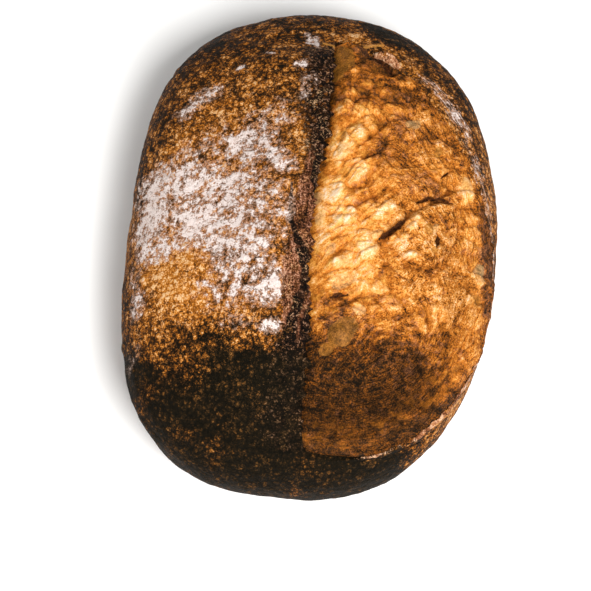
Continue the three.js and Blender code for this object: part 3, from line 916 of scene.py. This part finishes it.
def bloom_tone(sheet, tone):
    """The tone of the dough, by its surface and its place on the loaf, darker towards the far end and the
    tear, with painted shade beside the ear and at the near end, and never quite black.
    """
    x, y, points, opened = sheet.x, sheet.y, sheet.points, sheet.opened
    tone = tone + 0.37 + layers(points, TONE_PATCHES)
    for spot in GLOW:
        tone += spot[5] * hump(oval(x, y, spot), 1)
    # Painted shade: the near end of the dough darkened, most of all on its left.
    tone -= 0.36 * ramp(-48, -78, y + 0.2 * (x - 40) + 6 * rough(points, 14, 34))
    tone -= (0.15 + 0.13 * ramp(42, 26, x)) * ramp(54, 88, y)
    # Darker towards the tear, and beside the ear, where it is painted shade.
    tone -= (0.1 * ramp(-13, -2, sheet.from_tear) + 0.2 * ramp(4.5, 1.5, sheet.from_score)) * opened
    tone -= 0.2 * ramp(9, 3, sheet.from_score + 3 * rough(points, 5, 41)) * ramp(8, 40, y) * opened
    return TONE_LEAST + np.logaddexp(0, TONE_BEND * (tone - TONE_LEAST)) / TONE_BEND


def build_bloom():
    share = np.arange(1, BLOOM_RINGS) / BLOOM_RINGS
    turns = np.linspace(0.05, math.pi - 0.05, 200)
    evenly = mix(SCORE["far"] - 1, SCORE["near"] + 1, share - 0.03 * np.sin(2 * math.pi * share))
    cuts = Cuts(np.interp(-evenly, -Cuts(turns).score_y[:, 0], turns))
    start = smooth_rows(BLOOM_START, BLOOM_COLUMNS["start"])
    stop = smooth_rows(BLOOM_STOP, BLOOM_COLUMNS["stop"])
    start_arcs = cuts.score + start[:, 0] * cuts.ear_scale
    stop_arcs = cuts.tear + stop[:, 0] * cuts.narrowing
    parts = {
        "start": start_arcs,
        "top": spread(start_arcs[:, -1:], stop_arcs[:, :1], BLOOM_COLUMNS["top"]),
        "stop": stop_arcs,
        "under": spread(stop_arcs[:, -1:], start_arcs[:, :1], BLOOM_COLUMNS["under"]),
    }
    sheet = Sheet(cuts, parts)
    opened = sheet.opened

    lift, marks = bloom_surface(sheet.points)
    lift *= ramp(EAR_END - 5, EAR_END + 7, sheet.from_score) * mix(0.45, 1, ramp(0, -5, sheet.from_tear))
    rise, shift = lift * opened, np.zeros_like(lift)
    start_part, stop_part = sheet.part["start"], sheet.part["stop"]
    rise[:, start_part] += start[:, 2] * ramp(SCORE["far"] + 2, SCORE["far"] - 8, sheet.y[:, start_part])
    shift[:, start_part] = start[:, 1] * cuts.ear_scale * opened[:, start_part]
    rise[:, stop_part] *= ramp(1.5, -3.4, stop[:, 0])
    rise[:, stop_part] += stop[:, 2] * opened[:, stop_part]
    rise[:, sheet.part["under"]] = BLOOM_UNDERSIDE
    rise -= 4 * (1 - opened)
    points = sheet.moved(rise, shift)
    points[..., 2] += BELLY_HEIGHT

    marks["tone"] = bloom_tone(sheet, marks["tone"])
    marks["edge"] = ramp(-4.5, -0.6, sheet.from_tear) * opened
    return lay("bloom", with_poles(points), {name: with_poles(values) for name, values in marks.items()})


# Finishes.


def paint(*levels):
    """A colour from its red, green and blue as they look on a screen, from 0 to 255."""
    values = [level / 255 for level in levels]
    return (*(value / 12.92 if value <= 0.04045 else ((value + 0.055) / 1.055) ** 2.4 for value in values), 1)


class Wire:
    """One output of a finish's nodes, that can be used in sums."""

    def __init__(self, tree, socket=None):
        self.tree, self.socket = tree, socket

    def node(self, kind, settings=None, inputs=None, output=0):
        """Adds a node, with its settings and its inputs, and gives one of its outputs."""
        made = self.tree.nodes.new("ShaderNode" + kind)
        settings = dict(settings or {})
        stops = settings.pop("stops", ())
        for name, value in settings.items():
            setattr(made, name, value)
        if stops:
            elements = made.color_ramp.elements
            while len(elements) < len(stops):
                elements.new(1)
            for element, (position, *colour) in zip(elements, stops):
                element.position = position
                element.color = paint(*colour)
        for name, value in (inputs or {}).items():
            if isinstance(value, Wire):
                self.tree.links.new(value.socket, made.inputs[name])
            else:
                made.inputs[name].default_value = value
        return Wire(self.tree, made.outputs[output]) if made.outputs else None

    def maths(self, operation, first, second=0, clamp=False):
        settings = {"operation": operation, "use_clamp": clamp}
        return self.node("Math", settings, {0: first, 1: second})

    def __add__(self, other):
        return self.maths("ADD", self, other)

    def __mul__(self, other):
        return self.maths("MULTIPLY", self, other)

    def __sub__(self, other):
        return self.maths("SUBTRACT", self, other)

    def __rsub__(self, other):
        return self.maths("SUBTRACT", other, self)

    __radd__, __rmul__ = __add__, __mul__

    def clamped(self):
        return self.maths("ADD", self, 0, clamp=True)

    def rising(self, start, end):
        """0 below start and 1 above end, smooth between."""
        limits = {"Value": self, "From Min": start, "From Max": end, "To Min": 0, "To Max": 1}
        return self.node("MapRange", {"interpolation_type": "SMOOTHSTEP"}, limits)

    def over(self, below, above):
        """Two colours or wires of colour, mixed by this share of the one above."""
        settings = {"data_type": "RGBA", "clamp_factor": True}
        return self.node("Mix", settings, {0: self, 6: below, 7: above}, output=2)

    def tinted(self, *stops):
        """This number as a colour, by stops of (number, red, green, blue)."""
        return self.node("ValToRGB", {"stops": stops}, {"Fac": self})

    def mark(self, name, output=2):
        """A mark laid on the shell: a number, or with output 1 a direction."""
        return self.node("Attribute", {"attribute_name": name}, output=output)

    def marks(self, names):
        return [self.mark(name) for name in names.split()]

    def cloud(self, place, size, detail=2, roughness=0.55, warp=0):
        """Noise of about -0.5 to 0.5, with lumps about one size in millimetres across."""
        values = {"Vector": place, "Scale": 1 / (size * MM), "Detail": detail, "Roughness": roughness}
        return self.node("TexNoise", None, values | {"Distortion": warp}) - 0.5

    def cells(self, place, size, feature="F1", output=0):
        values = {"Vector": place, "Scale": 1 / (size * MM)}
        return self.node("TexVoronoi", {"feature": feature}, values, output)

    def stretched(self, place, along, across):
        """A place drawn out along its first two directions."""
        values = {"Vector": place, "Scale": (along, across, 1)}
        return self.node("Mapping", {"vector_type": "TEXTURE"}, values)


def start_finish(name):
    """A new finish, a wire of its nodes, and the place of each point."""
    finish = bpy.data.materials.new(name)
    finish.use_nodes = True
    finish.node_tree.nodes.clear()
    wire = Wire(finish.node_tree)
    return finish, wire, wire.node("TexCoord", output=3)


def covered(colour, covers):
    """A colour with others laid over it in turn, each by its own share."""
    for share, cover in covers:
        colour = share.over(colour, cover)
    return colour


def end_finish(wire, colour, roughness, height, depth, specular):
    bump = wire.node("Bump", None, {"Strength": 1, "Distance": depth * MM, "Height": height})
    values = {"Base Color": colour, "Roughness": roughness, "Normal": bump, "Specular IOR Level": specular}
    shader = wire.node("BsdfPrincipled", None, values)
    wire.node("OutputMaterial", None, {"Surface": shader})


def crust_finish():
    finish, wire, place = start_finish("baked_crust")
    shake = wire.node("TexNoise", None, {"Vector": place, "Scale": 500, "Detail": 2}, output=1)
    amount = {0: shake, 1: (BLISTER_SHAKE * MM,) * 3, 2: place}
    shaken = wire.node("VectorMath", {"operation": "MULTIPLY_ADD"}, amount)
    blisters = wire.cells(shaken, BLISTER_SIZE)
    colours = {"Color": wire.cells(shaken, BLISTER_SIZE, output=1)}
    own = wire.node("SeparateColor", None, colours) - 0.5
    outline = 1 - wire.cells(shaken, BLISTER_SIZE, "DISTANCE_TO_EDGE").rising(0, 0.16)
    small = wire.cells(shaken, 1.2)
    grit = wire.cloud(place, 0.8, 3, 0.75)
    clump = wire.cloud(place, 2.4, 3, 0.7)
    patch = wire.cloud(place, 7, 4, 0.65)
    bake, char, band, flour = wire.marks("bake char band flour")
    rim, gold, blister, right = wire.marks("rim gold blister right")
    lie = wire.mark("lie", output=1)

    grain = (0.4 - blisters) * 0.5 + (0.45 - small) * 0.5 + grit * 1.8 - outline * 0.16 + 0.04
    unevenness = grain + own * 0.34 + clump * 0.8 + patch * 1.2
    unevenness = unevenness * (unevenness * 0.5 + 0.94) - 0.02
    tone = 0.78 - bake * 0.62 + unevenness * (bake * (0.5 - bake * 0.6) + 0.9) + blister * 0.1
    colour = tone.tinted(
        *((0, 16, 11, 4), (0.16, 42, 26, 10), (0.32, 84, 49, 18), (0.48, 137, 78, 22)),
        *((0.64, 184, 110, 34), (0.8, 208, 142, 66), (1, 226, 186, 138)),
    )
    streak = wire.cloud(wire.stretched(lie, 1, 9), 1.5, 3, 0.7, 0.3)
    on_band = (band + patch * 1.4 + clump * 2 + grit * 1.6).rising(0.35, 0.7) * band.rising(0, 0.25)
    band_colour = (streak * 2.2 + grit * 3.4 + clump * 1.6 + 0.62 - bake * 0.5).tinted(
        (0, 20, 10, 5), (0.25, 70, 38, 21), (0.5, 118, 70, 46), (0.75, 160, 108, 80), (1, 200, 152, 126)
    )
    # Charred crust on the ear, and painted shade in its slot, seam, trench and near stretch.
    on_char_and_shade = (char + patch * 0.9 + clump * 1.6 + grit * 1.3).rising(0.35, 0.65) * char.rising(0, 0.25)
    char_and_shade_colour = (grain * 1.2 + clump + 0.38).tinted(
        (0.1, 9, 6, 4), (0.38, 30, 18, 11), (0.58, 80, 51, 34), (0.92, 168, 130, 104)
    )
    # The darkest crust: deep baking, and painted shade at the near end and the left edge.
    dark_bake_and_shade = (unevenness * 0.7 + 0.4).tinted((0.1, 8, 7, 3), (0.45, 30, 22, 9), (0.9, 86, 62, 32))
    golden = (gold + grit * 1.2).rising(0.35, 0.8)

    dust = wire.cloud(place, 5, 6, 0.74, 0.2)
    lines = wire.cloud(wire.stretched(lie, 0.8, 2.6), 2, 4, 0.7)
    right = right.rising(0.4, 0.6)
    clumps = dust * 2.8 * (1 - right) + lines * 3 * right
    cover = flour + clumps + patch * 1.2 + clump * 1.3 + grain * 0.3 + grit * 0.6
    dusted = flour.rising(0.04, 0.25)
    thick = cover.rising(0.52, 0.7) * dusted
    haze = cover.rising(0.08, 0.62) * dusted
    flour_colour = (grit + dust + 0.5).tinted((0.3, 206, 178, 164), (0.6, 236, 222, 216))
    # Pale specks on the grain: partly their own, partly painted highlights.
    flecks_and_glints = (grit * 1.3 + 0.5 + clump * 0.8 + patch * 0.8).rising(0.62, 0.76)
    fleck_and_glint_colour = bake.rising(0.2, 0.8).over(paint(220, 176, 130), paint(178, 120, 60))
    # Pale torn crust on the lip's rim, and a painted highlight on the flap's face.
    on_rim_and_flap_highlight = (rim + dust * 2.8 + grit * 1.8).rising(0.45, 0.8) * rim.rising(0, 0.2)
    torn = (grit + clump * 1.6 + patch + 0.5).tinted(
        (0.24, 92, 48, 26), (0.5, 180, 120, 82), (0.74, 224, 182, 146)
    )
    covers = (
        (on_band * 0.9, band_colour),
        (on_char_and_shade, char_and_shade_colour),
        (bake.rising(0.78, 1.05) * 0.75, dark_bake_and_shade),
        (golden * 0.8, paint(206, 142, 66)),
        (flecks_and_glints * (0.9 - bake * 0.85).clamped(), fleck_and_glint_colour),
        (haze * 0.55, paint(204, 164, 140)),
        (thick * 0.92, flour_colour),
        (on_rim_and_flap_highlight * 0.85, torn),
    )
    roughness = (0.66 + thick * 0.25 + grit * 0.3).clamped()
    height = grain * 0.55 + clump * 0.8 + patch + streak * band * 1.4 + thick * 0.2
    end_finish(wire, covered(colour, covers), roughness, height, 0.8, 0.05)
    return finish


def bloom_finish():
    finish, wire, place = start_finish("torn_dough")
    flow = wire.mark("flow", output=1)
    tone, crack, gash, skin, pale_skin = wire.marks("tone crack gash skin pale_skin")
    edge, soft, toast = wire.marks("edge soft toast")
    threads = wire.cloud(wire.stretched(flow, 2.2, 1), 1.5, 4, 0.7, 0.5)
    crumb = wire.cloud(place, 1.6, 4, 0.72, 0.5)
    fine = wire.cloud(place, 0.75, 2, 0.7, 0.4)
    cloudy = wire.cloud(place, 4.5, 4, 0.65, 0.3)
    fibres = wire.cloud(wire.stretched(flow, 4, 1), 1.8, 3, 0.6, 0.6)
    strands = (1 - wire.maths("ABSOLUTE", fibres) * 10).clamped()

    texture = threads * 1.1 + crumb * (0.7 - soft * 0.3) + fine * (1.7 - soft * 0.5)
    texture = texture * (0.94 - texture * 0.3) + strands * (0.2 - soft * 0.1) - 0.04
    blotches = cloudy * (1.1 - cloudy * 1.6) + 0.02
    unevenness = texture * (1 - soft * 0.25) + blotches * (1 - soft * 0.4)
    value = tone + soft * 0.08 + unevenness * (tone + 0.5).clamped()
    colour = value.tinted(
        *((0, 22, 14, 5), (0.14, 72, 42, 13), (0.28, 126, 69, 18), (0.42, 174, 98, 27)),
        *((0.56, 202, 127, 48), (0.7, 220, 152, 76), (0.86, 232, 182, 124), (1, 238, 208, 174)),
    )
    pink = (wire.cloud(place, 3.2, 4, 0.65, 0.5) + toast * 0.5).rising(0.04, 0.22)
    pink_colour = (value * 0.8 + 0.1).tinted((0.1, 84, 46, 26), (0.8, 210, 148, 112))
    yellow = wire.cloud(place, 5.5, 3, 0.6).rising(0, 0.18) * soft
    on_skin = (skin + crumb * 0.8 + threads).rising(0.25, 0.85) * skin.rising(0, 0.3)
    film = cloudy * 0.8 + fine + 0.46 + (tone - 0.3) * 0.4
    on_pale_skin = (pale_skin + crumb * 1.4).rising(0.2, 1) * pale_skin.rising(0, 0.4)
    pale_film = cloudy * 1.4 + fine + 0.5
    pale_film = pale_film.tinted((0.2, 160, 122, 72), (0.5, 202, 164, 108), (0.85, 224, 196, 152))
    # Painted shade in the cracks and holes: dark, though orange in soft dough.
    in_crack = ((crack + crumb * 0.8) * crack.rising(0.05, 0.4)).rising(0.3, 0.9)
    crack_colour = (soft * 0.8).over(paint(58, 27, 9), paint(184, 98, 26))
    # Painted shade in the gashes, near black.
    in_gash = (gash + crumb * 0.7).rising(0.35, 0.7)
    gash_colour = (fine + crumb + 0.5).tinted((0.4, 30, 14, 6), (0.62, 84, 44, 17))
    floury = (edge + cloudy * 3 + fine * 1.5).rising(0.6, 1.1) * edge.rising(0, 0.3)
    covers = (
        (pink * 0.4, pink_colour),
        (yellow * 0.55, value.tinted((0.2, 178, 104, 20), (0.9, 230, 182, 92))),
        (on_skin * 0.7, film.tinted((0.15, 78, 48, 15), (0.5, 148, 96, 35), (0.85, 192, 135, 62))),
        (on_pale_skin * 0.42, pale_film),
        (in_crack * 0.85, crack_colour),
        (in_gash * 0.94, gash_colour),
        (floury * 0.4, paint(216, 172, 134)),
    )
    smooth = (skin + pale_skin * 0.7).clamped()
    roughness = (0.66 + crumb * 0.4 - smooth * 0.12).clamped()
    rise = threads * 1.1 + crumb * 1.1 + fine * 0.6
    height = rise * (1 - smooth * 0.75) * (1 - soft * 0.4)
    end_finish(wire, covered(colour, covers), roughness, height, 0.75, 0.08)
    return finish


def floor_finish():
    finish, wire, place = start_finish("pale_floor")
    end_finish(wire, paint(244, 243, 241), 0.8, wire.cloud(place, 3), 0.02, 0.2)
    return finish


# The studio.


def aim(thing, direction, distance, target):
    """Puts a light or camera at a distance from its target, looking at it."""
    direction = Vector(direction).normalized()
    thing.location = target + direction * distance
    thing.rotation_euler = direction.to_track_quat("Z", "Y").to_euler()
    bpy.context.scene.collection.objects.link(thing)


def build_studio():
    azimuth, elevation = math.radians(CAMERA["azimuth"]), math.radians(CAMERA["elevation"])
    target = Vector(CAMERA["target"]) * MM
    level = math.cos(elevation)
    towards_camera = (math.sin(azimuth) * level, -math.cos(azimuth) * level, math.sin(elevation))
    camera = bpy.data.objects.new("camera", bpy.data.cameras.new("camera"))
    camera.data.sensor_width = 36
    camera.data.lens = CAMERA["lens"]
    camera.data.clip_start = 0.01
    aim(camera, towards_camera, CAMERA["distance"], target)
    bpy.context.scene.camera = camera

    for name, direction, size, power in LAMPS:
        lamp = bpy.data.lights.new(name, "AREA")
        lamp.size, lamp.energy = size, power
        aim(bpy.data.objects.new(name, lamp), direction, LAMP_DISTANCE, target)

    world = bpy.data.worlds.new("studio")
    world.use_nodes = True
    background = world.node_tree.nodes["Background"]
    background.inputs["Color"].default_value = (1, 1, 1, 1)
    background.inputs["Strength"].default_value = SKY_STRENGTH
    bpy.context.scene.world = world
    bpy.context.scene.view_settings.view_transform = "Standard"

    bm = bmesh.new()
    bmesh.ops.create_circle(bm, cap_ends=True, segments=96, radius=FLOOR_RADIUS)
    floor = formed("floor", bm)
    floor.data.materials.append(floor_finish())


build_studio()
build_crust().data.materials.append(crust_finish())
build_bloom().data.materials.append(bloom_finish())
